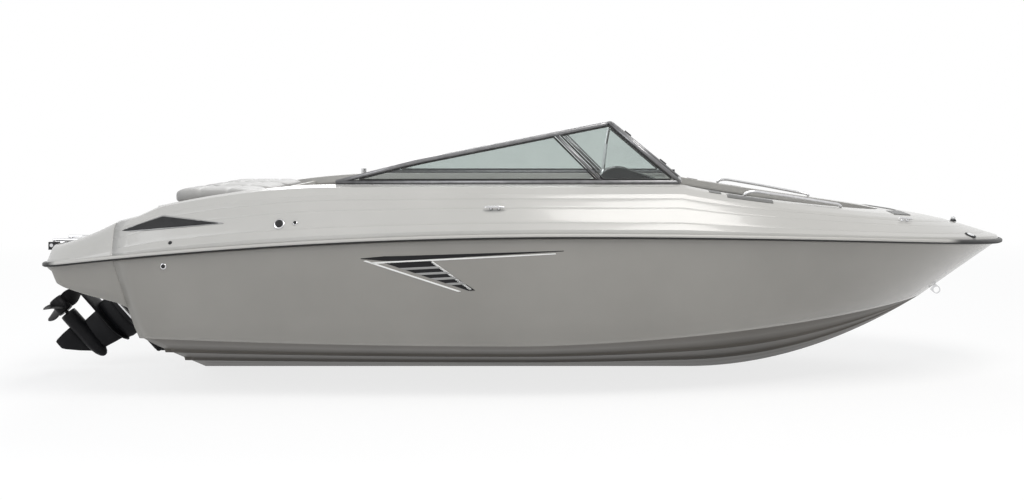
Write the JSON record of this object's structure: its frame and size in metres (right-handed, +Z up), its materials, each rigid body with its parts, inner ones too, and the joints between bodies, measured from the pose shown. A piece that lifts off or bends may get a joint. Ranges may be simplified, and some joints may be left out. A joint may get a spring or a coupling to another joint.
{
  "type": "bowrider speedboat",
  "caption": "Bowrider speedboat with a deep-V hull, a walk-through windshield, a swim platform and a stern drive tilted up out of the water.",
  "frame": {"origin": "on the centreline at the waterline, above the point where the floating hull balances", "axes": "+X forward to the bow, +Y to port, +Z up"},
  "size_m": [7.0697, 2.5938, 1.807],
  "materials": {
    "gelcoat_hull": "glossy gelcoat",
    "gelcoat_deck": "glossy gelcoat",
    "liner": "satin gelcoat",
    "sole_mat": "ribbed mat",
    "rub": "matt",
    "dark_frame": "anodised",
    "clear": "tinted",
    "dash_black": "grained",
    "stainless": "polished",
    "vinyl": "marine vinyl",
    "dark_vinyl": "marine vinyl",
    "drive_black": "satin",
    "prop": "gloss",
    "black_plastic": "moulded",
    "engine_iron": "painted",
    "wheel_grip": "soft grip"
  },
  "bodies": {
    "hull": {"hull_shell": "gelcoat_hull", "transom_board": "gelcoat_hull", "deck": "gelcoat_deck", "aft_deck": "gelcoat_deck", "swim_platform": "gelcoat_deck", "rub_rail": "rub", "cockpit_sides": "liner", "cockpit_sole": "sole_mat", "bow_sole": "sole_mat", "engine_bay": "liner", "engine": "engine_iron", "windshield_frame": "dark_frame", "side_glass": "clear", "front_glass": "clear", "windshield_braces": "stainless", "helm_console": "liner", "passenger_console": "liner", "throttle_control": "black_plastic", "seat_pedestals": "stainless", "bench_base": "liner", "rear_bench": "vinyl", "bow_seat_bases": "liner", "bow_cushions": "vinyl", "bow_bolsters": "dark_vinyl", "bow_rails": "stainless", "cleats": "stainless", "nav_lights": "black_plastic", "stern_light_socket": "stainless", "bow_eye": "stainless", "transom_eyes": "stainless", "deck_fittings": "black_plastic", "ladder_bracket": "black_plastic", "gimbal_housing": "drive_black"},
    "drive_ring": {"gimbal_ring": "drive_black"},
    "drive": {"drive_leg": "drive_black", "tilt_lugs": "drive_black"},
    "propeller": {"propeller": "prop"},
    "trim_barrel": {"trim_barrels": "drive_black"},
    "trim_rod": {"trim_rods": "stainless"},
    "wheel": {"steering_wheel": "wheel_grip"},
    "helm_seat": {"helm_seat": "vinyl"},
    "passenger_seat": {"passenger_seat": "vinyl"},
    "hatch": {"engine_hatch": "gelcoat_deck", "sun_pad": "dark_vinyl"},
    "windshield_door": {"windshield_door": "dark_frame", "windshield_door_glass": "clear"},
    "ladder": {"swim_ladder": "stainless"}
  },
  "joints": [
    {"name": "drive_steer", "type": "hinge", "parent": "hull", "child": "drive_ring", "pos_m": [-2.557, 0, -0.06], "axis": [0, 0, 1], "range_deg": [-30, 30]},
    {"name": "drive_tilt", "type": "hinge", "parent": "drive_ring", "child": "drive", "pos_m": [-2.557, 0, -0.06], "axis": [0, 1, 0], "range_deg": [-52, 0]},
    {"name": "propeller_spin", "type": "hinge", "parent": "drive", "child": "propeller", "pos_m": [-3.36721, 0, 0.01786], "axis": [0.6691, 0, -0.7431], "continuous": true},
    {"name": "trim_barrel_swing", "type": "hinge", "parent": "drive_ring", "child": "trim_barrel", "pos_m": [-2.577, 0, -0.26], "axis": [0, 1, 0], "range_deg": [-44.14, 0.2]},
    {"name": "trim_rod_stroke", "type": "slide", "parent": "trim_barrel", "child": "trim_rod", "axis": [-0.671, 0, 0.7414], "range_m": [-0.1668, 0.001]},
    {"name": "wheel_turn", "type": "hinge", "parent": "hull", "child": "wheel", "pos_m": [0.36, -0.495, 0.795], "axis": [0.9272, 0, -0.3746], "range_deg": [-541, 541]},
    {"name": "helm_seat_swivel", "type": "hinge", "parent": "hull", "child": "helm_seat", "pos_m": [-0.17, -0.495, 0.13], "axis": [0, 0, 1], "continuous": true},
    {"name": "passenger_seat_swivel", "type": "hinge", "parent": "hull", "child": "passenger_seat", "pos_m": [-0.17, 0.495, 0.13], "axis": [0, 0, 1], "continuous": true},
    {"name": "hatch_lift", "type": "hinge", "parent": "hull", "child": "hatch", "pos_m": [-2.35, 0, 0.785], "axis": [0, -1, 0], "range_deg": [0, 60]},
    {"name": "windshield_door_swing", "type": "hinge", "parent": "hull", "child": "windshield_door", "pos_m": [1.18131, 0.288, 0.9843], "axis": [-0.778, 0, 0.6283], "range_deg": [0, 150]},
    {"name": "ladder_fold", "type": "hinge", "parent": "hull", "child": "ladder", "pos_m": [-3.07, -0.69, 0.545], "axis": [0, -1, 0], "range_deg": [0, 250]}
  ],
  "couplings": [
    {"joint": "trim_barrel_swing", "follows": "drive_tilt", "ratio": 0.84498},
    {"joint": "trim_rod_stroke", "follows": "drive_tilt", "m_per_rad": 0.18271},
    {"joint": "wheel_turn", "follows": "drive_steer", "ratio": 18}
  ]
}
